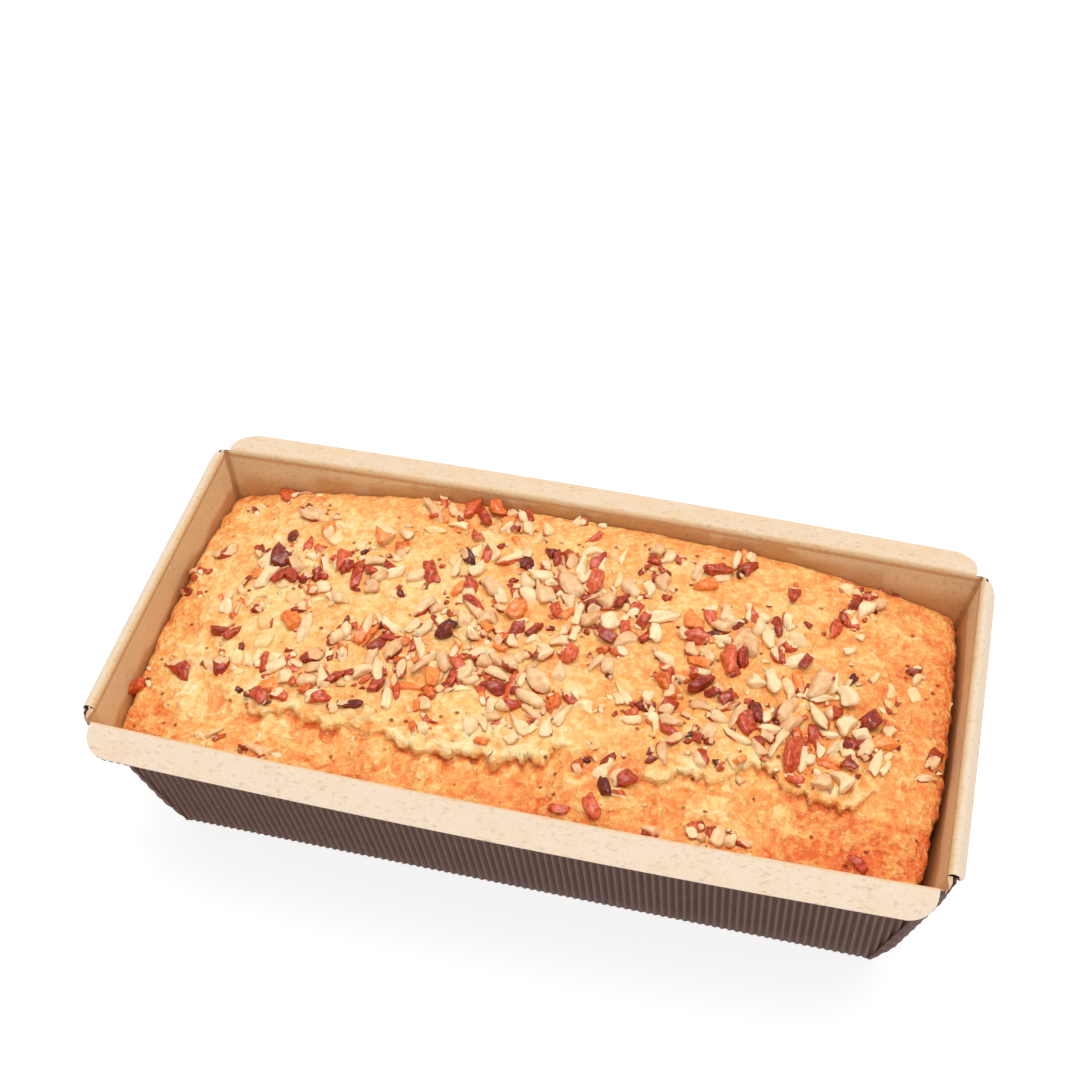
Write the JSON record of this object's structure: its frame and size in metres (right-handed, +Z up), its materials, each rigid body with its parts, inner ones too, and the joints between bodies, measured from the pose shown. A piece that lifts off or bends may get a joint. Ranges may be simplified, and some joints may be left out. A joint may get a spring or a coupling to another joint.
{
  "type": "pound cake loaf in a paper case",
  "caption": "Loaf-shaped pound cake with a domed, nut-sprinkled top, baked in a rectangular folded paper case with turned-out flanges.",
  "frame": {"origin": "middle of the case's underside, on the surface that the loaf stands on", "axes": "+X along the loaf, -Y its front, +Z up out of the open case"},
  "size_m": [0.2338, 0.127, 0.0625],
  "materials": {
    "kraft_board": "matte kraft paper inside, dark brown fluted paper outside",
    "baked_crust": "golden baked crust, softly glossy"
  },
  "bodies": {
    "root": {"paper_case": "kraft_board", "cake": "baked_crust"}
  },
  "joints": []
}
